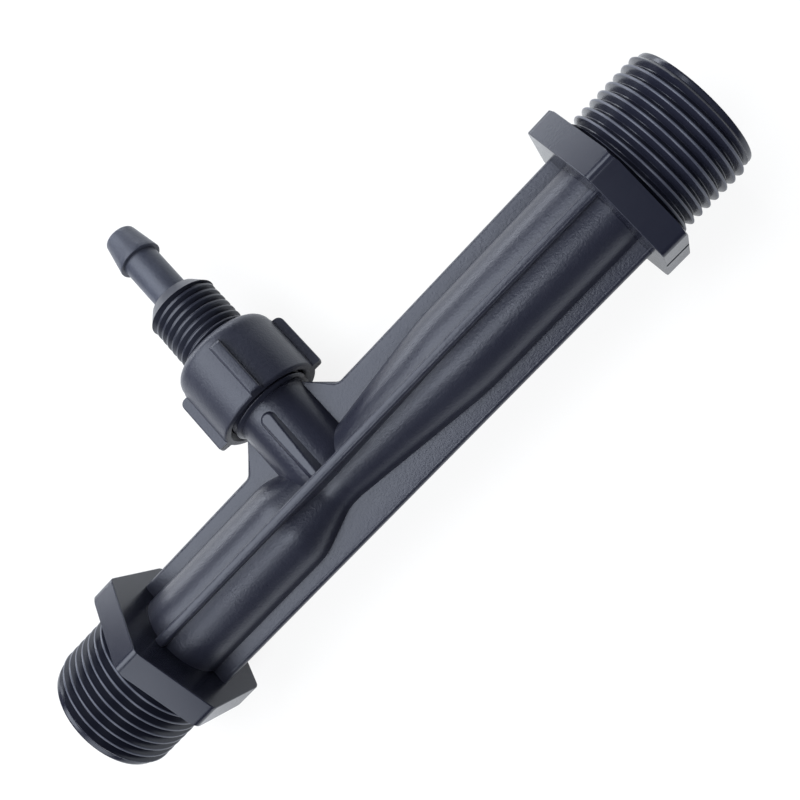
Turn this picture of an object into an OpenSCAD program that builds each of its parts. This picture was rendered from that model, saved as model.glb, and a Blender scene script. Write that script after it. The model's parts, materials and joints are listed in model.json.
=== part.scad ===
// Venturi fertilizer injector with 3/4 inch male pipe ends and a suction branch closed by a union nut.
// X runs along the flow from the inlet face, Y along the suction branch, Z up through the upright ribs.

/* [Pipe ends] */
// Length between the inlet face and the outlet face
overall_l = 151.2; // [135:0.1:190]
// Major diameter of the male pipe thread at both ends
pipe_thread_d = 26.44; // [24:0.01:29]
// Length of each threaded end, from its face to the hexagon
pipe_thread_l = 16.6; // [12:0.1:20]
// Lead-in chamfer at the tip of each pipe thread
pipe_lead_in = 0.8; // [0.5:0.1:2]
// Bore at the mouth of each threaded end
mouth_d = 19.4; // [16:0.1:20.5]

/* [Hexagons] */
// Width across the flats of each hexagon
hex_af = 30.6; // [28:0.1:36]
// Thickness of each hexagon along the flow
hex_t = 5.2; // [3:0.1:8]
// Rounding of the six corners of each hexagon
hex_corner_r = 1.6; // [0.5:0.1:3]
// Chamfer round the corners of each hexagon on its threaded side
hex_chamfer = 0.5; // [0.2:0.1:1.2]

/* [Venturi tube] */
// Outside diameter of the straight tube on either side of the neck
tube_d = 18; // [16:0.1:20]
// Bore of the straight tube
bore_d = 13.4; // [11:0.1:14.4]
// Outside diameter of the neck
neck_d = 11.7; // [10.6:0.1:13]
// Bore of the throat inside the neck
throat_d = 6.8; // [5:0.1:7.6]
// Length of the straight neck, centred on the branch
neck_l = 3; // [2:0.1:6]
// Length of the short cone that narrows towards the neck
inlet_cone_l = 9.2; // [6:0.1:16]
// Length of the long cone that widens after the neck
outlet_cone_l = 29; // [20:0.1:40]
// Blend radius where the short cone leaves the tube
inlet_blend_r = 12; // [4:0.5:16]
// Blend radius where both cones meet the neck
neck_blend_r = 8; // [2:0.5:9]
// Blend radius where the long cone meets the tube
outlet_blend_r = 60; // [20:1:90]
// Distance from the inlet face to the axis of the suction branch
branch_x = 63.7; // [56:0.1:72]

/* [Ribs] */
// Overall width of the flat web that lies in the plane of the branch
web_w = 24; // [21:0.1:27]
// Thickness of the flat web
web_t = 2.2; // [1.4:0.1:3]
// Overall height of the upright ribs, from the lower edge to the upper edge
rib_span = 20.8; // [19:0.1:26]
// Thickness of the upright ribs
rib_t = 2; // [1.4:0.1:3]
// Width across both gussets where they rise from the web
gusset_w = 25; // [22:0.1:30]
// Distance from the flow axis to the top of the gussets on the branch
gusset_top = 17; // [15:0.1:17.2]
// Rounding where each gusset rises from the web
gusset_r = 1.5; // [0.5:0.1:3]

/* [Branch spigot] */
// Outside diameter of the plain spigot
spigot_d = 15; // [14:0.1:15.6]
// Distance from the flow axis to the end of the spigot
spigot_l = 27; // [26:0.1:28.5]
// Major diameter of the union thread on the spigot
union_thread_d = 16.66; // [16:0.01:17.6]
// Length of the union thread
union_thread_l = 9.4; // [8:0.1:9.9]
// Chamfer at both ends of the union thread
union_lead_in = 0.7; // [0.3:0.1:1]
// Bore of the ball chamber in the spigot
chamber_d = 10; // [9.4:0.1:10.8]
// Depth of the ball chamber below the end of the spigot
chamber_depth = 11; // [10:0.1:13]
// Bore of the suction port from the ball chamber to the throat
port_d = 4; // [3:0.1:5]
// Height of the stop ribs on the floor of the ball chamber
stop_h = 1.5; // [0.8:0.1:2]
// Width of each stop rib
stop_w = 1.2; // [0.8:0.1:1.6]
// Number of stop ribs
stop_count = 3; // [3:1:4]

/* [Tongue ribs] */
// Distance from the flow axis to the nose of the tongue rib along the branch
tongue_l = 15.8; // [12:0.1:16]
// Width of the tongue rib where it leaves the wall of the spigot
tongue_w = 3; // [2.4:0.1:4]
// Narrowing of the tongue rib on each side, from the wall of the spigot to its crest
tongue_draft = 0.9; // [0.3:0.1:1]
// Overall height across the upper and the lower tongue rib at the flow axis
tongue_span = 18; // [17:0.1:19]
// Height of the tongue rib above the spigot at its nose
tongue_nose_h = 0.5; // [0.3:0.1:0.7]

/* [Union nut] */
// Outside diameter of the nut
nut_d = 21.4; // [20.8:0.1:23]
// Overall length of the nut
nut_l = 15; // [14:0.1:15.7]
// Thickness of the roof that presses on the tail
nut_roof_t = 2.4; // [2.1:0.1:4]
// Length of the domed top, down to the small step
nut_dome_l = 3.1; // [2.7:0.1:5]
// Rounding of the domed top
nut_dome_r = 2.4; // [1:0.1:2.6]
// Depth of the small step below the dome
nut_step = 0.2; // [0.1:0.05:0.4]
// Diameter across the grip lugs
lug_d = 24.8; // [23.4:0.1:27]
// Width of each grip lug at its crest
lug_w = 2; // [1.5:0.1:4]
// Widening of each grip lug towards the wall of the nut
lug_draft = 0.5; // [0.1:0.1:1]
// Rounding along both edges of the crest of each grip lug
lug_edge_r = 0.5; // [0.2:0.1:0.6]
// Rounding at the upper end of each grip lug
lug_end_r = 1.2; // [0.4:0.1:1.4]
// Number of grip lugs
lug_count = 4; // [3:1:8]
// Angle of the first lug from straight up
nut_turn = 15; // [0:1:90]
// Chamfer inside the mouth of the nut
nut_mouth_chamfer = 0.9; // [0.3:0.1:1.2]
// Rounding outside the mouth of the nut and at the lower end of each grip lug
nut_mouth_r = 0.5; // [0.2:0.1:0.8]

/* [Suction tail] */
// Diameter of the flange held under the roof of the nut
flange_d = 16.2; // [15.6:0.1:16.6]
// Thickness of the flange
flange_t = 2.5; // [2:0.1:4]
// Major diameter of the hose nut thread on the tail
tail_thread_d = 14.4; // [14:0.1:14.8]
// Length of the tail between the top of the nut and the end of its thread
tail_thread_l = 13.8; // [10:0.1:18]
// Diameter of the plain shank that passes through the roof of the nut
shank_d = 13.6; // [12:0.1:13.8]
// Height of the plain shank that stands above the nut
shank_rise = 0.3; // [0.2:0.1:1]
// Length of the lead-in cone at the end of the hose nut thread
tail_lead_in = 2.4; // [1:0.1:3]
// Diameter at the end of the lead-in cone
tail_nose_d = 10.6; // [9:0.1:12]
// Diameter of the hose stem
stem_d = 7.3; // [6.8:0.1:7.8]
// Length of the hose stem up to the barb
stem_l = 11; // [7:0.1:16]
// Largest diameter of the hose barb
barb_d = 9; // [8.4:0.1:9.6]
// Diameter of the barb at its tip
barb_tip_d = 6.4; // [5.8:0.1:6.7]
// Length of the hose barb
barb_l = 6.8; // [6:0.1:12]
// Rounding of the tip of the barb
barb_tip_r = 0.6; // [0.3:0.1:0.8]
// Bore through the tail
tail_bore_d = 4; // [3:0.1:4.2]
// Diameter of the ball seat at the face of the flange
seat_d = 7.4; // [6.6:0.1:8]

/* [Seal and ball] */
// Outside diameter of the flat seal washer
washer_d = 16; // [15:0.1:16.4]
// Thickness of the flat seal washer
washer_t = 1.5; // [1:0.1:2.5]
// Diameter of the check ball
ball_d = 8; // [7.6:0.1:8.6]

/* [Clearances] */
// Radial gap between the nut and the threads that pass through it
thread_gap = 0.2; // [0.1:0.05:0.4]
// Gap between the check ball and its stop ribs
ball_gap = 0.15; // [0.1:0.05:0.5]

/* [Hidden] */
$fn = 96;
plastic_colour = "#3b3e47";
rubber_colour = "#1d1e20";
ball_colour = "#d9dcd6";
// Cuts run this far past the faces that they open
past = 1;
arc_steps = 6;

// Stations along the flow
hex_in_x = pipe_thread_l + hex_t;
hex_out_x = overall_l - hex_in_x;
neck_in_x = branch_x - neck_l / 2;
neck_out_x = branch_x + neck_l / 2;
inlet_shoulder_x = neck_in_x - inlet_cone_l;
outlet_shoulder_x = neck_out_x + outlet_cone_l;
// The mouth bores run to the middle of the hexagons and then taper to the bore of the tube at 45 degrees
mouth_x = pipe_thread_l + hex_t / 2;
mouth_taper_l = (mouth_d - bore_d) / 2;

// Stations along the branch, measured from the flow axis
floor_y = spigot_l - chamber_depth;
union_thread_y = spigot_l - union_thread_l;
flange_y = spigot_l + washer_t;
roof_y = flange_y + flange_t;
nut_top_y = roof_y + nut_roof_t;
nut_mouth_y = nut_top_y - nut_l;
tail_thread_y = nut_top_y + tail_thread_l;
barb_y = tail_thread_y + stem_l;
tail_tip_y = barb_y + barb_l;
nut_bore_d = union_thread_d + 2 * thread_gap;
roof_bore_d = tail_thread_d + 2 * thread_gap;
ball_y = floor_y + stop_h + sqrt(pow(ball_d, 2) - pow(port_d, 2)) / 2 + ball_gap;

function unit(v) = v / norm(v);

// Arc of radius r that blends the corner b between the points a and c
function corner_arc(a, b, c, r) =
    let (to_a = unit(a - b), to_c = unit(c - b))
    let (half = acos(to_a * to_c) / 2)
    let (centre = b + unit(to_a + to_c) * r / sin(half))
    let (from = b + to_a * r / tan(half) - centre)
    let (side = sign(cross(a - b, c - b)))
    [for (i = [0:arc_steps]) let (turn = -side * (180 - 2 * half) * i / arc_steps)
        centre + [from.x * cos(turn) - from.y * sin(turn), from.x * sin(turn) + from.y * cos(turn)]];

// Closed outline through the corners, each blended by its own radius; a radius of 0 leaves a corner sharp
function blended(corners, radii) =
    let (n = len(corners))
    [for (i = [0:n - 1]) each radii[i] == 0 ? [corners[i]]
        : corner_arc(corners[(i + n - 1) % n], corners[i], corners[(i + 1) % n], radii[i])];

// Turned shapes are drawn as [radius, station]
module on_flow() {
    rotate([0, 90, 0]) children();
}

module on_branch() {
    translate([branch_x, 0, 0]) rotate([-90, 0, 0]) children();
}

// Half outline of a straight tube with the neck drawn in, closed on the axis
module neck_outline(straight_r, neck_r, x_from, x_to) {
    polygon(blended(
        [[0, x_from], [straight_r, x_from], [straight_r, inlet_shoulder_x], [neck_r, neck_in_x],
         [neck_r, neck_out_x], [straight_r, outlet_shoulder_x], [straight_r, x_to], [0, x_to]],
        [0, 0, inlet_blend_r, neck_blend_r, neck_blend_r, outlet_blend_r, 0, 0]));
}

module threaded_end() {
    on_flow() rotate_extrude()
        polygon([[0, 0], [pipe_thread_d / 2 - pipe_lead_in, 0], [pipe_thread_d / 2, pipe_lead_in],
                 [pipe_thread_d / 2, pipe_thread_l + past], [0, pipe_thread_l + past]]);
}

// Hexagon with two corners in line with the upright ribs, chamfered towards the thread
module hexagon() {
    corner_r = hex_af / sqrt(3);
    rounded_r = corner_r - (2 / sqrt(3) - 1) * hex_corner_r;
    on_flow() translate([0, 0, pipe_thread_l]) intersection() {
        linear_extrude(hex_t)
            polygon(blended(
                [for (i = [0:5]) corner_r * [cos(60 * i), sin(60 * i)]],
                [for (i = [0:5]) hex_corner_r]));
        cylinder(h = corner_r, r1 = rounded_r - hex_chamfer, r2 = rounded_r - hex_chamfer + 2 * corner_r);
    }
}

module pipe_end() {
    threaded_end();
    hexagon();
}

module flow_passage() {
    on_flow() rotate_extrude() neck_outline(bore_d / 2, throat_d / 2, -past, overall_l + past);
    for (end = [0, 1]) translate([end * overall_l, 0, 0]) mirror([end, 0, 0]) on_flow() rotate_extrude()
        polygon([[0, -past], [mouth_d / 2, -past], [mouth_d / 2, mouth_x],
                 [bore_d / 2, mouth_x + mouth_taper_l], [0, mouth_x + mouth_taper_l]]);
}

// Flat web with the two gussets that brace the spigot
module web() {
    half_w = web_w / 2;
    linear_extrude(web_t, center = true)
        polygon(blended(
            [[hex_in_x - past, -half_w], [hex_out_x + past, -half_w], [hex_out_x + past, half_w],
             [branch_x + gusset_w / 2, half_w], [branch_x + spigot_d / 2, gusset_top],
             [branch_x - spigot_d / 2, gusset_top], [branch_x - gusset_w / 2, half_w],
             [hex_in_x - past, half_w]],
            [0, 0, 0, gusset_r, 0, 0, gusset_r, 0]));
}

module upright_ribs() {
    translate([hex_in_x - past, -rib_t / 2, -rib_span / 2])
        cube([hex_out_x - hex_in_x + 2 * past, rib_t, rib_span]);
}

// Tongue with sloping flanks that stiffens the spigot above and below and slopes down to a round nose
module tongue_ribs() {
    crest = tongue_w / 2 - tongue_draft;
    crest_z = tongue_span / 2;
    foot = tongue_w / 2 + tongue_draft;
    foot_z = spigot_d - crest_z;
    nose_y = tongue_l - tongue_w / 2;
    for (side = [0, 1]) translate([branch_x, 0, 0]) mirror([0, 0, side]) intersection() {
        translate([0, nose_y, 0]) {
            rotate([90, 0, 0]) linear_extrude(nose_y)
                polygon([[-foot, foot_z], [foot, foot_z], [crest, crest_z], [-crest, crest_z]]);
            rotate_extrude() polygon([[0, foot_z], [foot, foot_z], [crest, crest_z], [0, crest_z]]);
        }
        translate([-foot, 0, 0]) rotate([90, 0, 90]) linear_extrude(2 * foot)
            polygon([[0, foot_z], [nose_y + foot, foot_z], [nose_y + foot, spigot_d / 2 + tongue_nose_h],
                     [0, crest_z]]);
    }
}

module spigot() {
    on_branch() rotate_extrude()
        polygon([[0, 0], [spigot_d / 2, 0], [spigot_d / 2, union_thread_y],
                 [union_thread_d / 2 - union_lead_in, union_thread_y],
                 [union_thread_d / 2, union_thread_y + union_lead_in],
                 [union_thread_d / 2, spigot_l - union_lead_in],
                 [union_thread_d / 2 - union_lead_in, spigot_l], [0, spigot_l]]);
}

// Ball chamber with its stop ribs left standing, and the port down to the throat
module suction_passage() {
    on_branch() {
        cylinder(h = floor_y + past, d = port_d);
        translate([0, 0, floor_y + stop_h]) cylinder(h = chamber_depth - stop_h + past, d = chamber_d);
        difference() {
            translate([0, 0, floor_y]) cylinder(h = stop_h + past, d = chamber_d);
            for (i = [0:stop_count - 1]) rotate([0, 0, 360 / stop_count * i])
                translate([0, -stop_w / 2, floor_y - past]) cube([chamber_d, stop_w, stop_h + past]);
        }
        cylinder(h = floor_y + stop_h + past, d = port_d);
    }
}

module body() {
    color(plastic_colour) difference() {
        union() {
            pipe_end();
            translate([overall_l, 0, 0]) mirror([1, 0, 0]) pipe_end();
            on_flow() rotate_extrude()
                neck_outline(tube_d / 2, neck_d / 2, hex_in_x - past, hex_out_x + past);
            web();
            upright_ribs();
            spigot();
            tongue_ribs();
        }
        flow_passage();
        suction_passage();
    }
}

// Grip lugs with sloping sides, rounded along their crests and at their ends
module grip_lugs() {
    lug_h = (lug_d - nut_d) / 2;
    lug_top_y = nut_top_y - nut_dome_l;
    intersection() {
        translate([0, 0, nut_mouth_y]) linear_extrude(lug_top_y - nut_mouth_y)
            for (i = [0:lug_count - 1]) rotate(360 / lug_count * i - 90 + nut_turn)
                polygon(blended(
                    [[nut_d / 2 - lug_h, -lug_w / 2 - lug_draft], [lug_d / 2, -lug_w / 2],
                     [lug_d / 2, lug_w / 2], [nut_d / 2 - lug_h, lug_w / 2 + lug_draft]],
                    [0, lug_edge_r, lug_edge_r, 0]));
        rotate_extrude()
            polygon(blended(
                [[nut_d / 2 - lug_h, nut_mouth_y], [lug_d / 2, nut_mouth_y],
                 [lug_d / 2, lug_top_y], [nut_d / 2 - lug_h, lug_top_y]],
                [0, nut_mouth_r, lug_end_r, 0]));
    }
}

module union_nut() {
    dome_d = nut_d - 2 * nut_step;
    color(plastic_colour) on_branch() difference() {
        union() {
            rotate_extrude()
                polygon(blended(
                    [[0, nut_mouth_y], [nut_d / 2, nut_mouth_y], [nut_d / 2, nut_top_y - nut_dome_l],
                     [dome_d / 2, nut_top_y - nut_dome_l], [dome_d / 2, nut_top_y], [0, nut_top_y]],
                    [0, nut_mouth_r, 0, 0, nut_dome_r, 0]));
            grip_lugs();
        }
        rotate_extrude()
            polygon([[0, nut_mouth_y - past],
                     [nut_bore_d / 2 + nut_mouth_chamfer + past, nut_mouth_y - past],
                     [nut_bore_d / 2, nut_mouth_y + nut_mouth_chamfer],
                     [nut_bore_d / 2, roof_y], [0, roof_y]]);
        cylinder(h = nut_top_y + past, d = roof_bore_d);
    }
}

module suction_tail() {
    color(plastic_colour) on_branch() difference() {
        rotate_extrude()
            polygon(blended(
                [[0, flange_y], [flange_d / 2, flange_y], [flange_d / 2, roof_y], [shank_d / 2, roof_y],
                 [shank_d / 2, nut_top_y + shank_rise], [tail_thread_d / 2, nut_top_y + shank_rise],
                 [tail_thread_d / 2, tail_thread_y - tail_lead_in], [tail_nose_d / 2, tail_thread_y],
                 [stem_d / 2, tail_thread_y], [stem_d / 2, barb_y],
                 [barb_d / 2, barb_y], [barb_tip_d / 2, tail_tip_y], [0, tail_tip_y]],
                [0, 0, 0, 0, 0, 0, 0, 0, 0, 0, 0, barb_tip_r, 0]));
        cylinder(h = tail_tip_y + past, d = tail_bore_d);
        rotate_extrude()
            polygon([[0, flange_y - past], [seat_d / 2 + past, flange_y - past],
                     [tail_bore_d / 2, flange_y + (seat_d - tail_bore_d) / 2],
                     [0, flange_y + (seat_d - tail_bore_d) / 2]]);
    }
}

module seal_washer() {
    color(rubber_colour) on_branch() translate([0, 0, spigot_l]) difference() {
        cylinder(h = washer_t, d = washer_d);
        translate([0, 0, -past]) cylinder(h = washer_t + 2 * past, d = chamber_d);
    }
}

module check_ball() {
    color(ball_colour) on_branch() translate([0, 0, ball_y]) sphere(d = ball_d);
}

body();
union_nut();
suction_tail();
seal_washer();
check_ball();
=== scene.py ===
# %% [markdown]
# # A venturi fertilizer injector, dressed for its picture
#
# The real part is a short pipe of black moulded plastic with a narrow throat. Water that
# rushes through the throat sucks liquid feed in through a small branch on its side. A loose
# nut holds a hose tail on that branch.
#
# The solid model gives every piece its place and size. This lesson adds what a solid model
# leaves out: the screw threads, the softened edges, the grain of the plastic and the light.

# %% Load the frame
import json
import math

import bmesh
import bpy
from mathutils import Matrix, Vector


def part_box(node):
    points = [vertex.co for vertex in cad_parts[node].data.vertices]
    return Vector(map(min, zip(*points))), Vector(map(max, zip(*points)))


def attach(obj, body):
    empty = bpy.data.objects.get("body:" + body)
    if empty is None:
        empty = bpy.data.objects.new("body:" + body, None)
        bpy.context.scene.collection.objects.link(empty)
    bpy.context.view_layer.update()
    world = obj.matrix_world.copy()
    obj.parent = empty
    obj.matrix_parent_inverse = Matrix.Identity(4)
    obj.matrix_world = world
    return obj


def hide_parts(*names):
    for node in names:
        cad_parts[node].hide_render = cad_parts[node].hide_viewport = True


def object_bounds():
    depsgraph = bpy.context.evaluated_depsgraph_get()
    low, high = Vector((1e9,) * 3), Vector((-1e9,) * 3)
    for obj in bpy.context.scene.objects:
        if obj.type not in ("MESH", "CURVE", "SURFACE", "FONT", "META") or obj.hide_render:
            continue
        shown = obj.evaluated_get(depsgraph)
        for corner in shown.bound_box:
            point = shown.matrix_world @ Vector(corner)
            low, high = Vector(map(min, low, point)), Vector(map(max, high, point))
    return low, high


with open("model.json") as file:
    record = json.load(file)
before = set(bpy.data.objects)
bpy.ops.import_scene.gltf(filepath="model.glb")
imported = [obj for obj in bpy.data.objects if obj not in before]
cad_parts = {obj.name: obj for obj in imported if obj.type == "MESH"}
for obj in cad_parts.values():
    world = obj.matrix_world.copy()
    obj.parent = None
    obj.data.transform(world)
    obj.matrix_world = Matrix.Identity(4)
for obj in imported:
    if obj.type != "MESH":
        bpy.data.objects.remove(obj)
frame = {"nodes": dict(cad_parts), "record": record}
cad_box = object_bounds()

print("CAD box in metres:", [[round(c, 4) for c in corner] for corner in cad_box])

# %% [markdown]
# ## Sizes that the frame already knows
#
# A scene that repeats the sizes of its model by hand goes wrong as soon as the model changes.
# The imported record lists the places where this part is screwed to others, with their radius
# and length, and the boxes of the nodes give the rest. So the lesson measures them first.

# %% Measure the frame
MM = 0.001

mounts = {mount["name"]: mount for mount in frame["record"]["mounts"]}
body_low, body_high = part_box("body")
nut_low, nut_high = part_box("union_nut")
tail_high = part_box("suction_tail")[1]
washer_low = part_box("seal_washer")[0]

flow_l = body_high.x
branch_x = mounts["tail_thread"]["pos_m"][0]
spigot_top = washer_low.y
print("flow length", round(flow_l / MM, 2), "mm, branch at", round(branch_x / MM, 2), "mm")

# %% [markdown]
# ## The camera
#
# The photograph looks steeply down on the part from quite near, so that the outlet looks larger
# than the inlet. A camera can be aimed by turning it with angles, but three directions are easier
# to read: where it looks, what is up in the picture, and their cross product, which is the
# picture's right side. Those three are the columns of the camera's rotation.

# %% Aim the camera
EYE = Vector((113.176, -41.481, 169.175)) * MM
LOOK = Vector((-0.1766157, 0.2428110, -0.9538604)).normalized()
PICTURE_UP = Vector((0.7089159, 0.7036672, 0.0478607))
LENS_MM = 45.113
SENSOR_MM = 36.0
NEAREST_SEEN = 10 * MM

picture_right = LOOK.cross(PICTURE_UP).normalized()
picture_up = picture_right.cross(LOOK)
turn = Matrix((picture_right, picture_up, -LOOK)).transposed()

camera_data = bpy.data.cameras.new("camera")
camera_data.lens = LENS_MM
camera_data.sensor_width = SENSOR_MM
camera_data.clip_start = NEAREST_SEEN
camera = bpy.data.objects.new("camera", camera_data)
camera.matrix_world = Matrix.Translation(EYE) @ turn.to_4x4()
bpy.context.scene.collection.objects.link(camera)
bpy.context.scene.camera = camera
bpy.context.scene.view_settings.view_transform = "Standard"
print("camera looks down at", round(math.degrees(math.asin(-LOOK.z)), 1), "degrees")

# %% [markdown]
# ## Shader maths in plain Python
#
# A material is a graph of nodes. Wiring each node by hand hides the idea behind it, so one small
# class wraps an output socket, and adding or multiplying two of them adds the Math node. Every
# other node comes from one method, which takes the node's type, its settings and its inputs. A
# world has a node tree too, so the room is mixed in the same way as the plastics.

# %% Wrap sockets
class Value:
    """An output socket of a node tree that takes part in Python expressions."""

    def __init__(self, tree, socket):
        self.tree = tree
        self.socket = socket

    def math(self, operation, *inputs):
        settings = {"operation": operation}
        return self.tree.node("ShaderNodeMath", settings, dict(enumerate(inputs)))

    def __add__(self, other):
        return self.math("ADD", self, other)

    def __sub__(self, other):
        return self.math("SUBTRACT", self, other)

    def __rsub__(self, other):
        return self.math("SUBTRACT", other, self)

    def __mul__(self, other):
        return self.math("MULTIPLY", self, other)

    def __gt__(self, other):
        return self.math("GREATER_THAN", self, other)

    def __abs__(self):
        return self.math("ABSOLUTE", self)

    __radd__ = __add__
    __rmul__ = __mul__


class Finish:
    """The emptied node tree of a new material or world."""

    def __init__(self, owner):
        self.owner = owner
        owner.use_nodes = True
        self.nodes = owner.node_tree.nodes
        self.links = owner.node_tree.links
        self.nodes.clear()

    def node(self, kind, settings=None, inputs=None, output=0):
        """Adds one node: settings first, then each input's value or link, and returns an output."""
        made = self.nodes.new(kind)
        for name, setting in (settings or {}).items():
            setattr(made, name, setting)
        for key, value in (inputs or {}).items():
            socket = self.named(made.inputs, key)
            if isinstance(value, Value):
                self.links.new(value.socket, socket)
            else:
                socket.default_value = value
        return Value(self, self.named(made.outputs, output)) if made.outputs else made

    def named(self, sockets, key):
        """A socket by its number, its identifier or its name."""
        if isinstance(key, int):
            return sockets[key]
        return next(socket for socket in sockets if key in (socket.identifier, socket.name))

    def mix(self, share, first, second):
        """A colour between two colours."""
        return self.node(
            "ShaderNodeMix",
            {"data_type": "RGBA"},
            {"Factor": share, "A_Color": first, "B_Color": second},
            output="Result_Color",
        )

    def surface(self, shader):
        """Sends the shader to the output and returns the finished material or world."""
        is_world = isinstance(self.owner, bpy.types.World)
        kind = "ShaderNodeOutputWorld" if is_world else "ShaderNodeOutputMaterial"
        self.node(kind, None, {"Surface": shader})
        return self.owner


print("socket arithmetic is ready")

# %% [markdown]
# ## The table top
#
# The part was photographed on a seamless white sheet. A white floor under a lamp is never evenly
# white, so the camera and the reflections see a floor that is mostly white by itself, while the
# rest of it is an ordinary pale surface, on which the part still throws its soft shadow.

# %% Lay the white sheet
SHEET_HALF = 1.2
SHEET_COLOUR = (0.86, 0.87, 0.88, 1.0)
SHEET_SEEN_WHITE = 0.86
SHEET_GLOSS_WHITE = 0.25
SHEET_GRAIN_SCALE = 900.0
SHEET_GRAIN_DEPTH = 0.02 * MM
SHEET_ROUGHNESS = 0.9
MATT_GLOSS = 0.1
PLAIN_WHITE = (1.0, 1.0, 1.0, 1.0)
HALF_RAY = 0.5

sheet_z = cad_box[0].z

sheet_bm = bmesh.new()
bmesh.ops.create_grid(sheet_bm, x_segments=1, y_segments=1, size=SHEET_HALF)
bmesh.ops.translate(sheet_bm, verts=sheet_bm.verts, vec=(flow_l / 2, 0, sheet_z))
sheet_mesh = bpy.data.meshes.new("white_sheet")
sheet_bm.to_mesh(sheet_mesh)
sheet_bm.free()
sheet = bpy.data.objects.new("white_sheet", sheet_mesh)
bpy.context.scene.collection.objects.link(sheet)
print("sheet lies at", round(sheet_z / MM, 2), "mm")

# %% Whiten the sheet
paper = Finish(bpy.data.materials.new("white_paper"))
paper_place = paper.node("ShaderNodeTexCoord", output="Object")
paper_grain = paper.node(
    "ShaderNodeTexNoise", None, {"Vector": paper_place, "Scale": SHEET_GRAIN_SCALE}
)
paper_bump = paper.node(
    "ShaderNodeBump", None, {"Height": paper_grain, "Distance": SHEET_GRAIN_DEPTH}
)
matt_paper = paper.node(
    "ShaderNodeBsdfPrincipled",
    None,
    {
        "Base Color": SHEET_COLOUR,
        "Roughness": SHEET_ROUGHNESS,
        "Specular IOR Level": MATT_GLOSS,
        "Normal": paper_bump,
    },
)
white_paper = paper.node("ShaderNodeEmission", None, {"Color": PLAIN_WHITE, "Strength": 1.0})
seen_rays = paper.node("ShaderNodeLightPath", output="Is Camera Ray")
gloss_rays = paper.node("ShaderNodeLightPath", output="Is Glossy Ray")
glass_rays = paper.node("ShaderNodeLightPath", output="Is Transmission Ray")
mirrored = (1 - seen_rays) * (gloss_rays + glass_rays > HALF_RAY)
seen_share = seen_rays * SHEET_SEEN_WHITE + mirrored * SHEET_GLOSS_WHITE
paper_shader = paper.node(
    "ShaderNodeMixShader", None, {0: seen_share, 1: matt_paper, 2: white_paper}
)
sheet_mesh.materials.append(paper.surface(paper_shader))
print("camera sees", SHEET_SEEN_WHITE, "of the sheet as plain white")

# %% [markdown]
# ## The light
#
# The photograph has one large soft lamp above the branch, a long low one behind it, and weaker ones
# on the far side and by the inlet. The far flank stays nearly black. Area lamps give such soft
# edges at once, and their width and height shape the bands of light along the pipe.

# %% Hang the lamps
LAMP_COLOUR = (0.93, 0.96, 1.0)
LAMPS = {
    "overhead": {"at": (-0.12, 0.325, 0.60), "size": (0.82, 0.60), "watts": 9.9},
    "branch_side": {"at": (0.12, 0.75, 0.05), "size": (1.15, 0.22), "watts": 6.0},
    "far_side": {"at": (-0.04, -0.33, 0.60), "size": (0.40, 0.20), "watts": 2.3},
    "inlet_side": {"at": (-0.50, -0.36, 0.42), "size": (0.50, 0.50), "watts": 3.2},
}

part_middle = (cad_box[0] + cad_box[1]) / 2
for lamp_name, lamp in LAMPS.items():
    lamp_data = bpy.data.lights.new(lamp_name, "AREA")
    lamp_data.shape = "RECTANGLE"
    lamp_data.size, lamp_data.size_y = lamp["size"]
    lamp_data.energy = lamp["watts"]
    lamp_data.color = LAMP_COLOUR
    lamp_object = bpy.data.objects.new(lamp_name, lamp_data)
    lamp_object.location = lamp["at"]
    towards_part = part_middle - Vector(lamp["at"])
    lamp_object.rotation_euler = towards_part.to_track_quat("-Z", "Y").to_euler()
    bpy.context.scene.collection.objects.link(lamp_object)
print("lamps:", ", ".join(LAMPS))

# %% [markdown]
# ## A black card
#
# Photographers darken a flank with a black card that stands just outside the picture. This one
# stands on the side of the pipe that faces away from the branch. It only shows in reflections, so
# that it throws no shadow and hides nothing when the part is seen from another side.

# %% Stand the card
CARD_AT = (0.16, -0.14, 0.07)
CARD_SIZE = (0.46, 0.18)
CARD_COLOUR = (0.004, 0.004, 0.005, 1.0)
CARD_ROUGHNESS = 0.8
CARD_GRAIN_ROUGHNESS = 0.2

card_bm = bmesh.new()
bmesh.ops.create_grid(card_bm, x_segments=1, y_segments=1, size=0.5)
bmesh.ops.scale(card_bm, verts=card_bm.verts, vec=(*CARD_SIZE, 1.0))
bmesh.ops.rotate(card_bm, verts=card_bm.verts, matrix=Matrix.Rotation(math.radians(90), 3, "X"))
bmesh.ops.translate(card_bm, verts=card_bm.verts, vec=CARD_AT)
card_mesh = bpy.data.meshes.new("black_card")
card_bm.to_mesh(card_mesh)
card_bm.free()
black_card = bpy.data.objects.new("black_card", card_mesh)
bpy.context.scene.collection.objects.link(black_card)
black_card.visible_camera = False
black_card.visible_diffuse = False
black_card.visible_shadow = False

card_paint = Finish(bpy.data.materials.new("card_paint"))
card_place = card_paint.node("ShaderNodeTexCoord", output="Object")
card_grain = card_paint.node(
    "ShaderNodeTexNoise", None, {"Vector": card_place, "Scale": SHEET_GRAIN_SCALE}
)
card_shader = card_paint.node(
    "ShaderNodeBsdfPrincipled",
    None,
    {
        "Base Color": CARD_COLOUR,
        "Roughness": card_grain * CARD_GRAIN_ROUGHNESS + CARD_ROUGHNESS,
        "Specular IOR Level": MATT_GLOSS,
    },
)
card_mesh.materials.append(card_paint.surface(card_shader))
print("black card stands at y", round(CARD_AT[1] / MM), "mm")

# %% [markdown]
# ## The room
#
# The room itself is nearly dark, and the camera sees it as white where the sheet ends.

# %% Light the room
WORLD_LEVEL = 0.03

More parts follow.
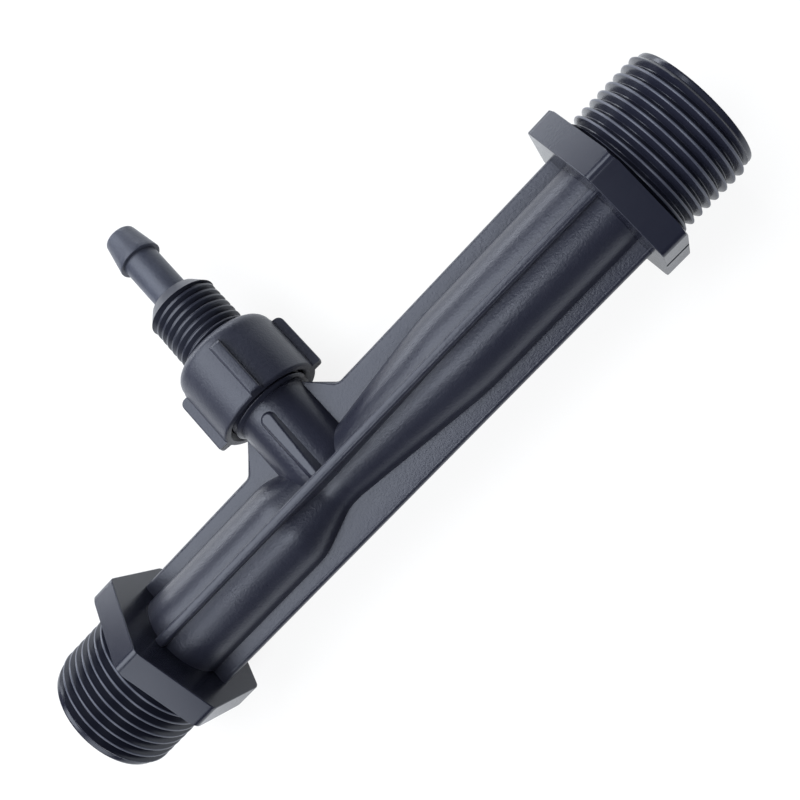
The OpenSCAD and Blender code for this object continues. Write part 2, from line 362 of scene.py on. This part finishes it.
room = Finish(bpy.data.worlds.new("studio"))
dim_room = room.node(
    "ShaderNodeBackground", None, {"Color": (*LAMP_COLOUR, 1.0), "Strength": WORLD_LEVEL}
)
white_room = room.node("ShaderNodeBackground", None, {"Color": PLAIN_WHITE, "Strength": 1.0})
room_rays = room.node("ShaderNodeLightPath", output="Is Camera Ray")
room_shader = room.node("ShaderNodeMixShader", None, {0: room_rays, 1: dim_room, 2: white_room})
bpy.context.scene.world = room.surface(room_shader)
print("the room's own light is", WORLD_LEVEL)

# %% [markdown]
# ## Moulded black plastic
#
# All three large pieces are injection moulded from black plastic that looks charcoal with a touch
# of blue. The tool gives it a fine spark-eroded grain, so it is satin rather than glossy. Colour,
# roughness and relief could come from pictures, but noise on Object coordinates has no seams and
# keeps its scale in millimetres on every piece. Each piece gets its own patch of the noise.
#
# The crests of the pipe threads are a little rougher than their flanks, and a paler colour on them
# is a painted highlight, which draws the thin light lines round both ends. A crest is found by its
# distance from the flow axis.

# %% Find the crests for the painted highlight
# Painted highlight: the paler colour that the thread crests get.
CREST_HIGHLIGHT_COLOUR = (0.047, 0.051, 0.070, 1.0)
CREST_ROUGHNESS = 0.12
CREST_BAND = (0.11 * MM, 0.03 * MM)
CREST_LEAST = 0.5
ACROSS_FLOW = (0, 1, 1)


def crest_highlight_mask(finish, place, along, mount):
    """A mask of the outermost skin of the threads at both ends of the flow axis."""
    across = finish.node(
        "ShaderNodeVectorMath", {"operation": "MULTIPLY"}, {0: place, 1: ACROSS_FLOW}
    )
    radius = finish.node(
        "ShaderNodeVectorMath", {"operation": "LENGTH"}, {0: across}, output="Value"
    )
    crest_r = mount["dims"]["r_mm"] * MM
    band_foot, band_top = CREST_BAND
    outermost = finish.node(
        "ShaderNodeMapRange",
        None,
        {"Value": radius, "From Min": crest_r - band_foot, "From Max": crest_r - band_top},
    )
    thread_l = mount["dims"]["length_mm"] * MM
    return outermost * (abs(along - flow_l / 2) > flow_l / 2 - thread_l)


# The painted highlight covers the crests down to this depth below the thread's radius.
print("crests are scuffed down to", CREST_BAND[0] / MM, "mm below the thread's radius")

# %% Mix moulded plastic
PLASTIC_DARK = (0.010, 0.011, 0.019, 1.0)
PLASTIC_GLOSS = (0.88, 0.92, 1.0, 1.0)
GLOSS_LEVEL = 0.36
NOISE_DETAIL = 3.0
NOISE_MIDDLE = 0.5
CLOUD_SCALE = 140.0
CLOUD_BREAKUP = 0.55
CLOUD_ROUGHNESS = 0.08
GRAIN_SCALE = 2200.0
GRAIN_BREAKUP = 0.65
GRAIN_ROUGHNESS = 0.10
GRAIN_DEPTH = 0.055 * MM
POLISH_GRAIN = 0.1
POLISH_ROUGHNESS = 0.06
POLISH_DARK = 0.8


def plastic_noise(finish, place, scale, breakup):
    """One layer of noise at its own scale."""
    return finish.node(
        "ShaderNodeTexNoise",
        None,
        {"Vector": place, "Scale": scale, "Detail": NOISE_DETAIL, "Roughness": breakup},
    )


def moulded_plastic(name, offset, satin, light, axis, grain_span, thread=None):
    """Satin plastic that is grained inside the span along an axis, and polished outside it."""
    finish = Finish(bpy.data.materials.new(name))
    place = finish.node("ShaderNodeTexCoord", output="Object")
    moved = finish.node("ShaderNodeMapping", None, {"Vector": place, "Location": offset})
    cloud = plastic_noise(finish, moved, CLOUD_SCALE, CLOUD_BREAKUP)
    grain = plastic_noise(finish, moved, GRAIN_SCALE, GRAIN_BREAKUP)
    along = finish.node("ShaderNodeSeparateXYZ", None, {"Vector": place}, output=axis)
    polished = abs(along - sum(grain_span) / 2) > (grain_span[1] - grain_span[0]) / 2
    paleness = (cloud + grain) * 0.5 * (1 - polished * POLISH_DARK)
    colour = finish.mix(paleness, PLASTIC_DARK, light)
    grain_rough = (grain - NOISE_MIDDLE) * GRAIN_ROUGHNESS
    rough = grain_rough + (cloud - NOISE_MIDDLE) * CLOUD_ROUGHNESS + satin
    if thread:
        # The paler crest colour mixed in here is a painted highlight; the extra roughness on the
        # crests is their own.
        crest = crest_highlight_mask(finish, place, along, thread)
        colour = finish.mix(crest * (CREST_LEAST + cloud), colour, CREST_HIGHLIGHT_COLOUR)
        rough = rough + crest * CREST_ROUGHNESS
    height = grain * (1 - polished * (1 - POLISH_GRAIN))
    relief = finish.node("ShaderNodeBump", None, {"Height": height, "Distance": GRAIN_DEPTH})
    shader = finish.node(
        "ShaderNodeBsdfPrincipled",
        None,
        {
            "Base Color": colour,
            "Roughness": rough - polished * POLISH_ROUGHNESS,
            "Normal": relief,
            "Specular IOR Level": GLOSS_LEVEL,
            "Specular Tint": PLASTIC_GLOSS,
        },
    )
    return finish.surface(shader)


print("grain is", GRAIN_DEPTH / MM, "mm deep")

# %% Colour the three plastics
BODY_LIGHT = (0.018, 0.019, 0.030, 1.0)
NUT_LIGHT = (0.030, 0.032, 0.046, 1.0)
TAIL_LIGHT = (0.058, 0.064, 0.088, 1.0)
BODY_SATIN = 0.30
NUT_SATIN = 0.38
TAIL_SATIN = 0.42
BODY_PATCH = (0.0, 0.0, 0.0)
NUT_PATCH = (0.31, 0.12, 0.05)
TAIL_PATCH = (0.07, 0.44, 0.23)
HEX_INNER = 21.8 * MM
HEX_CLEAR = 0.1 * MM
STEM_FOOT = 47.2 * MM

pipe_thread = mounts["inlet_thread"]
body_span = (HEX_INNER + HEX_CLEAR, flow_l - HEX_INNER - HEX_CLEAR)
nut_span = (nut_low.y, nut_high.y)
tail_span = (STEM_FOOT, tail_high.y)
body_plastic = moulded_plastic(
    "body_plastic", BODY_PATCH, BODY_SATIN, BODY_LIGHT, "X", body_span, pipe_thread
)
nut_plastic = moulded_plastic("nut_plastic", NUT_PATCH, NUT_SATIN, NUT_LIGHT, "Y", nut_span)
tail_plastic = moulded_plastic("tail_plastic", TAIL_PATCH, TAIL_SATIN, TAIL_LIGHT, "Y", tail_span)
print("mixed", body_plastic.name, nut_plastic.name, tail_plastic.name)

# %% [markdown]
# ## Working on a copy of a solid
#
# A node of the frame stays as it is. To add a thread, the lesson copies its mesh, merges the loose
# triangles into one skin, and works on that copy. When a piece is finished it takes the node's
# place, rides on the same body and gets one material slot with its own finish. Edges that turn
# sharply are marked, so that the smooth shading stops there.

# %% Copy and finish
WELD = 0.0001 * MM
SHARP_TURN = math.radians(32)


def welded_copy(node):
    """A bmesh of the node's skin with its doubled vertices merged."""
    bm = bmesh.new()
    bm.from_mesh(frame["nodes"][node].data)
    bmesh.ops.remove_doubles(bm, verts=bm.verts, dist=WELD)
    return bm


def finished_piece(bm, name, node, body, material):
    """Turns the bmesh into the piece that stands for a CAD node."""
    bmesh.ops.recalc_face_normals(bm, faces=bm.faces)
    for face in bm.faces:
        face.smooth = True
        face.material_index = 0
    for edge in bm.edges:
        edge.smooth = edge.is_manifold and edge.calc_face_angle() < SHARP_TURN
    open_edges = sum(not edge.is_manifold for edge in bm.edges)
    mesh = bpy.data.meshes.new(name)
    bm.to_mesh(mesh)
    bm.free()
    mesh.materials.append(material)
    piece = bpy.data.objects.new(name, mesh)
    bpy.context.scene.collection.objects.link(piece)
    even_normals = piece.modifiers.new("even_normals", "WEIGHTED_NORMAL")
    even_normals.keep_sharp = True
    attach(piece, body)
    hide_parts(node)
    mesh.calc_loop_triangles()
    print(name, "has", len(mesh.loop_triangles), "triangles,", open_edges, "open edges")


print("edges sharper than", round(math.degrees(SHARP_TURN)), "degrees stay sharp in the shading")

# %% [markdown]
# ## Soft edges
#
# A mould can't make a knife edge. Every outer edge of the real part is rounded a little, and that
# is what draws the thin bright and dark lines along its ribs. The solid has sharp edges there. The
# bevel operator rounds them, once the triangles of each flat face are merged into one face.

# %% Round edges
FLAT_TURN = math.radians(0.2)
CRISP_TURN = math.radians(40)
SOFT_SEGMENTS = 3
SQUARE_LOW = 0.02
SQUARE_HIGH = 0.999


def merge_flats(bm):
    """Merges neighbouring faces that lie in one plane."""
    bmesh.ops.dissolve_limit(bm, angle_limit=FLAT_TURN, verts=bm.verts, edges=bm.edges)


def crisp_edges(bm, test):
    """The sharp outer edges whose middle and two face normals pass the test."""
    found = []
    for edge in bm.edges:
        if edge.is_manifold and edge.is_convex and edge.calc_face_angle() > CRISP_TURN:
            middle = (edge.verts[0].co + edge.verts[1].co) / 2
            if test(middle, [face.normal for face in edge.link_faces]):
                found.append(edge)
    return found


def square_to(normals, axis):
    """True where one face looks along the axis and the other at right angles to it."""
    low, high = sorted(abs(normal[axis]) for normal in normals)
    return low < SQUARE_LOW and high > SQUARE_HIGH


def soften(bm, edges, width):
    """Rounds the edges over the given width."""
    bmesh.ops.bevel(
        bm,
        geom=edges,
        offset=width,
        offset_type="OFFSET",
        segments=SOFT_SEGMENTS,
        profile=0.5,
        affect="EDGES",
        clamp_overlap=False,
        material=-1,
    )
    return len(edges)


print("edge rounding is ready")

# %% [markdown]
# ## A screw thread
#
# A thread could be a bump on a cylinder, but its saw-tooth outline shows at the pipe's edge, so it
# is real geometry. One pitch of its outline is a polyline with a round crest. The spin operator
# turns it round the axis and lifts it a little at each step, which makes one turn of the helix, and
# copies of that turn make the rest. Neighbouring turns are merged, planes trim the ends, and the
# radius is held between two limits along the length, so that the thread fades into a plain rim at
# the mouth and into an undercut by the hexagon.

# %% Cut threads
TURN_STEPS = 96
CREST_ANGLES = [math.radians(angle) for angle in (-60, -40, -20, 0, 20, 40, 60)]
MERGE_SHARE = 1 / 500


def limits_at(stations, along):
    """The least and greatest radius at a height between two stations."""
    for (z0, low0, high0), (z1, low1, high1) in zip(stations, stations[1:]):
        if along <= z1:
            share = min(max((along - z0) / (z1 - z0), 0.0), 1.0)
            return low0 + (low1 - low0) * share, high0 + (high1 - high0) * share
    return stations[-1][1:]


def thread_skin(pitch, root_r, crest_r, crest_bend, root_w, stations):
    """An open helical skin along +Z. Stations are rows of (z, least radius, greatest radius)."""
    start = stations[0][0]
    stop = stations[-1][0]
    turns = math.ceil((stop - start) / pitch) + 2
    middle = (root_w + pitch) / 2
    outline = [(root_r, 0.0), (root_r, root_w)]
    for angle in CREST_ANGLES:
        drop = crest_bend * (1 - math.cos(angle))
        outline.append((crest_r - drop, middle + crest_bend * math.sin(angle)))
    outline.append((root_r, pitch))
    below = start - 2 * pitch
    skin = bmesh.new()
    corners = [skin.verts.new((radius, 0, below + along)) for radius, along in outline]
    for pair in zip(corners, corners[1:]):
        skin.edges.new(pair)
    bmesh.ops.spin(
        skin,
        geom=skin.verts[:] + skin.edges[:],
        cent=(0, 0, 0),
        axis=(0, 0, 1),
        dvec=(0, 0, pitch / TURN_STEPS),
        angle=math.tau,
        steps=TURN_STEPS,
        use_merge=False,
    )
    one_turn = skin.verts[:] + skin.edges[:] + skin.faces[:]
    for count in range(1, turns + 1):
        copied = bmesh.ops.duplicate(skin, geom=one_turn)["geom"]
        lifted = [item for item in copied if isinstance(item, bmesh.types.BMVert)]
        bmesh.ops.translate(skin, verts=lifted, vec=(0, 0, count * pitch))
    bmesh.ops.remove_doubles(skin, verts=skin.verts, dist=pitch * MERGE_SHARE)
    for along, _, _ in stations:
        bmesh.ops.bisect_plane(
            skin,
            geom=skin.verts[:] + skin.edges[:] + skin.faces[:],
            dist=WELD,
            plane_co=(0, 0, along),
            plane_no=(0, 0, 1),
            clear_inner=along == start,
            clear_outer=along == stop,
        )
    for vert in skin.verts:
        low, high = limits_at(stations, vert.co.z)
        radius = vert.co.xy.length
        vert.co.xy *= min(max(radius, low), high) / radius
    return skin


print("a turn of thread has", TURN_STEPS, "steps")

# %% Put a thread in place of a wall
WALL_TOLERANCE = 1.0 * MM
WALL_SLOPE = 0.9


def axis_place(point, direction):
    """The matrix that lays local +Z on a thread's axis, with local X towards the frame's +Z."""
    along = Vector(direction)
    side = Vector((0, 0, 1))
    columns = Matrix((side, along.cross(side), along)).transposed()
    return Matrix.Translation(point) @ columns.to_4x4()


def swap_wall(bm, place, wall_r, span, skin):
    """Replaces the plain wall round an axis by a thread's skin and closes the rings at its ends."""
    inward = place.inverted()
    wall = []
    for face in bm.faces:
        middle = inward @ face.calc_center_median()
        normal = inward.to_3x3() @ face.normal
        on_wall = abs(middle.xy.length - wall_r) < WALL_TOLERANCE and abs(normal.z) < WALL_SLOPE
        if on_wall and span[0] < middle.z < span[1]:
            wall.append(face)
    bmesh.ops.delete(bm, geom=wall, context="FACES")

    bmesh.ops.transform(skin, matrix=place, verts=skin.verts)
    sleeve = bpy.data.meshes.new("sleeve")
    skin.to_mesh(sleeve)
    skin.free()
    bm.from_mesh(sleeve)
    bpy.data.meshes.remove(sleeve)

    middle_z = sum(span) / 2
    for first_half in (True, False):
        ring = [
            edge
            for edge in bm.edges
            if edge.is_boundary and ((inward @ edge.verts[0].co).z < middle_z) == first_half
        ]
        bmesh.ops.bridge_loops(bm, edges=ring)
    return len(wall)


print("thread cutter is ready")

# %% [markdown]
# ## The body's edges
#
# The web and the ribs are the thin flanges that stiffen the pipe. Their rims are well rounded, the
# hexagons less so. The two halves of the mould meet in the plane of the web, and where they met on
# one flat of the outlet's hexagon they left a dark slit.

# %% Soften the body
WEB_SOFT = 0.90 * MM
RIB_SOFT = 0.70 * MM
HEX_SOFT = 0.22 * MM
TONGUE_SOFT = 0.32 * MM
WEB_NEAR_Z = 2 * MM
WEB_REACH_Y = 15 * MM
RIB_FROM_Z = 10 * MM
HEX_FROM_R = 14 * MM
HEX_FACE = 0.1 * MM
TONGUE_HALF = 2.0 * MM
TONGUE_SPAN_Y = (1.1 * MM, 16 * MM)
TONGUE_SPAN_Z = (7.7 * MM, 10 * MM)

flow_mid = flow_l / 2
hex_reach = flow_mid - HEX_INNER


def on_web(middle, normals):
    in_plane = abs(middle.z) < WEB_NEAR_Z and middle.y < WEB_REACH_Y
    return in_plane and square_to(normals, 2)


def on_rib(middle, normals):
    between_hexagons = abs(middle.x - flow_mid) < hex_reach
    return between_hexagons and abs(middle.z) > RIB_FROM_Z and square_to(normals, 2)


def on_hexagon(middle, normals):
    at_inner_face = abs(abs(middle.x - flow_mid) - hex_reach) < HEX_FACE
    return at_inner_face and middle.yz.length > HEX_FROM_R and square_to(normals, 0)


def on_tongue(middle, normals):
    in_length = TONGUE_SPAN_Y[0] < middle.y < TONGUE_SPAN_Y[1]
    in_height = TONGUE_SPAN_Z[0] < abs(middle.z) < TONGUE_SPAN_Z[1]
    return in_length and in_height and abs(middle.x - branch_x) < TONGUE_HALF


body_bm = welded_copy("body")
merge_flats(body_bm)
for test, width in (
    (on_web, WEB_SOFT),
    (on_rib, RIB_SOFT),
    (on_hexagon, HEX_SOFT),
    (on_tongue, TONGUE_SOFT),
):
    print(test.__name__, "rounded", soften(body_bm, crisp_edges(body_bm, test), width), "edges")

# %% Cut the parting groove
GROOVE_HALF = 0.62 * MM
GROOVE_LIP = 0.08 * MM
GROOVE_DEPTH = 1.40 * MM
FLAT_LEVEL = 0.01 * MM
FLAT_SLOPE = 0.001


def outlet_flats(bm):
    """The faces of the outlet hexagon's flat that looks away from the branch."""
    found = []
    for face in bm.faces:
        middle = face.calc_center_median()
        on_flat = abs(middle.y - body_low.y) < FLAT_LEVEL and face.normal.y < FLAT_SLOPE - 1
        if on_flat and middle.x > flow_mid:
            found.append(face)
    return found


for plane_z in (-GROOVE_HALF, GROOVE_HALF):
    flats = outlet_flats(body_bm)
    rims = [edge for face in flats for edge in face.edges]
    tips = [vert for face in flats for vert in face.verts]
    bmesh.ops.bisect_plane(
        body_bm,
        geom=list(dict.fromkeys(flats + rims + tips)),
        dist=WELD,
        plane_co=(0, 0, plane_z),
        plane_no=(0, 0, 1),
    )
grooves = [
    face for face in outlet_flats(body_bm) if abs(face.calc_center_median().z) < GROOVE_HALF
]
bmesh.ops.inset_individual(body_bm, faces=grooves, thickness=GROOVE_LIP, depth=-GROOVE_DEPTH)
print("cut", len(grooves), "parting groove")

# %% [markdown]
# ## The body's three threads
#
# Both pipe ends carry the same coarse parallel pipe thread, and the branch a finer one for the nut.
# Moulded threads have round crests. Each end starts with a plain rim that guides the pipe, and a
# small undercut sets the last turn off from the hexagon.

# %% Thread the body
PIPE_PITCH = 1.814 * MM
PIPE_DEPTH = 1.10 * MM
PIPE_CREST_BEND = 0.30 * MM
PIPE_ROOT_W = 0.10 * MM
RIM_INSET = 0.70 * MM
RIM_L = 0.9 * MM
RIM_RISE = 0.7 * MM
RIM_EDGE = 0.25 * MM
UNDERCUT_L = 0.9 * MM
RING_GAP = 0.05 * MM

pipe_r = pipe_thread["dims"]["r_mm"] * MM
pipe_stop = pipe_thread["pos_m"][0] + pipe_thread["dims"]["length_mm"] * MM / 2
pipe_root = pipe_r - PIPE_DEPTH
rim_r = pipe_r - RIM_INSET
pipe_stations = [
    (RIM_EDGE, rim_r, rim_r),
    (RIM_L, rim_r, rim_r),
    (RIM_L + RIM_RISE, pipe_root, pipe_r),
    (pipe_stop - UNDERCUT_L, pipe_root, pipe_r),
    (pipe_stop - UNDERCUT_L / 2, pipe_root, pipe_root),
    (pipe_stop - RING_GAP, pipe_root, pipe_root),
]

for mouth_x, way in ((0.0, 1.0), (flow_l, -1.0)):
    pipe_skin = thread_skin(
        PIPE_PITCH, pipe_root, pipe_r, PIPE_CREST_BEND, PIPE_ROOT_W, pipe_stations
    )
    pipe_place = axis_place((mouth_x, 0, 0), (way, 0, 0))
    swapped = swap_wall(body_bm, pipe_place, pipe_r, (0.0, pipe_stop), pipe_skin)
    print("pipe thread at x", round(mouth_x / MM, 1), "took the place of", swapped, "faces")

# %% Thread the branch
UNION_PITCH = 1.337 * MM
UNION_DEPTH = 0.80 * MM
UNION_CREST_BEND = 0.22 * MM
UNION_ROOT_W = 0.08 * MM
UNION_L = 9.4 * MM
UNION_LEAD = 0.7 * MM
UNION_R = 8.33 * MM

union_root = UNION_R - UNION_DEPTH
union_foot = spigot_top - UNION_L
union_stations = [
    (RING_GAP, union_root, UNION_R),
    (UNION_L - UNION_LEAD, union_root, UNION_R),
    (UNION_L - RING_GAP, union_root, UNION_R - UNION_LEAD),
]
union_skin = thread_skin(
    UNION_PITCH, union_root, UNION_R, UNION_CREST_BEND, UNION_ROOT_W, union_stations
)
union_place = axis_place((branch_x, union_foot, 0), (0, 1, 0))
swapped = swap_wall(body_bm, union_place, UNION_R, (-RING_GAP, UNION_L), union_skin)
print("branch thread took the place of", swapped, "faces")

finished_piece(body_bm, "threaded_body", "body", "injector_body", body_plastic)

# %% [markdown]
# ## The hose tail
#
# The tail comes out of the nut as a threaded shank, on which a hose nut would run, and ends in a
# thin stem with one barb. Only its thread is missing in the solid, so it gets the same treatment.

# %% Thread the tail
TAIL_PITCH = 1.5 * MM
TAIL_DEPTH = 0.86 * MM
TAIL_CREST_BEND = 0.25 * MM
TAIL_ROOT_W = 0.08 * MM
TAIL_TAPER = 0.18 * MM
TAIL_FADE = 0.5 * MM
BARB_SOFT = 0.25 * MM


def on_barb(middle, normals):
    return middle.y > mounts["hose_barb"]["pos_m"][1] - BARB_SOFT


tail_thread = mounts["tail_thread"]
tail_r = tail_thread["dims"]["r_mm"] * MM
tail_l = tail_thread["dims"]["length_mm"] * MM
tail_foot = tail_thread["pos_m"][1] - tail_l / 2
tail_root = tail_r - TAIL_DEPTH
tail_stations = [
    (RING_GAP, tail_root, tail_r),
    (tail_l - TAIL_FADE, tail_root - TAIL_TAPER, tail_r - TAIL_TAPER),
    (tail_l - RING_GAP, tail_root, tail_r - TAIL_TAPER),
]
tail_bm = welded_copy("suction_tail")
merge_flats(tail_bm)
print("barb rounded", soften(tail_bm, crisp_edges(tail_bm, on_barb), BARB_SOFT), "edges")
tail_skin = thread_skin(
    TAIL_PITCH, tail_root - TAIL_TAPER, tail_r, TAIL_CREST_BEND, TAIL_ROOT_W, tail_stations
)
tail_place = axis_place((branch_x, tail_foot, 0), (0, 1, 0))
swapped = swap_wall(tail_bm, tail_place, tail_r, (-RING_GAP, tail_l), tail_skin)
print("tail thread took the place of", swapped, "faces")

finished_piece(tail_bm, "threaded_tail", "suction_tail", "tail", tail_plastic)

# %% [markdown]
# ## The nut
#
# The nut is turned by hand, with four lugs for the fingers. Its solid already has the dome, the
# small step and the rounded lugs, so a merged copy of it with the nut's own plastic is enough.

# %% Dress the nut
nut_bm = welded_copy("union_nut")
finished_piece(nut_bm, "lugged_nut", "union_nut", "nut", nut_plastic)

# %% [markdown]
# ## The seal and the ball
#
# Two small pieces sit inside the branch. A rubber washer seals the tail against the spigot, and a
# pale plastic ball closes the tail when the pressure turns round. Neither shows in the photograph,
# but both show when the nut is undone. Rubber is matt with a dusty bloom, the ball is smooth and
# slightly cloudy.

# %% Mix rubber and ball plastic
RUBBER_DARK = (0.012, 0.012, 0.013, 1.0)
RUBBER_BLOOM = (0.030, 0.030, 0.031, 1.0)
BALL_PALE = (0.74, 0.75, 0.71, 1.0)
BALL_CLOUD = (0.68, 0.69, 0.66, 1.0)
RUBBER_SCALE = 900.0
RUBBER_DEPTH = 0.02 * MM
RUBBER_ROUGHNESS = 0.75
BALL_DEPTH = 0.2 * RUBBER_DEPTH
BALL_ROUGHNESS = 0.32
SPECKLE_DETAIL = 4.0
SPECKLE_ROUGHNESS = 0.2


def speckled(name, scale, depth, colours, roughness):
    """A finish of two colours that noise mixes, with roughness and relief from the same noise."""
    finish = Finish(bpy.data.materials.new(name))
    place = finish.node("ShaderNodeTexCoord", output="Object")
    noise = finish.node(
        "ShaderNodeTexNoise", None, {"Vector": place, "Scale": scale, "Detail": SPECKLE_DETAIL}
    )
    relief = finish.node("ShaderNodeBump", None, {"Height": noise, "Distance": depth})
    shader = finish.node(
        "ShaderNodeBsdfPrincipled",
        None,
        {
            "Base Color": finish.mix(noise, *colours),
            "Roughness": (noise - NOISE_MIDDLE) * SPECKLE_ROUGHNESS + roughness,
            "Normal": relief,
        },
    )
    return finish.surface(shader)


rubber_colours = (RUBBER_DARK, RUBBER_BLOOM)
ball_colours = (BALL_CLOUD, BALL_PALE)
seal_rubber = speckled("seal_rubber", RUBBER_SCALE, RUBBER_DEPTH, rubber_colours, RUBBER_ROUGHNESS)
ball_plastic = speckled("ball_plastic", CLOUD_SCALE, BALL_DEPTH, ball_colours, BALL_ROUGHNESS)
print("mixed", seal_rubber.name, ball_plastic.name)

# %% Finish the seal and the ball
WASHER_SOFT = 0.15 * MM


def on_washer(middle, normals):
    return square_to(normals, 1)


washer_bm = welded_copy("seal_washer")
merge_flats(washer_bm)
print("washer rounded", soften(washer_bm, crisp_edges(washer_bm, on_washer), WASHER_SOFT), "edges")
finished_piece(washer_bm, "rubber_washer", "seal_washer", "tail", seal_rubber)
ball_bm = welded_copy("check_ball")
finished_piece(ball_bm, "pale_ball", "check_ball", "ball", ball_plastic)
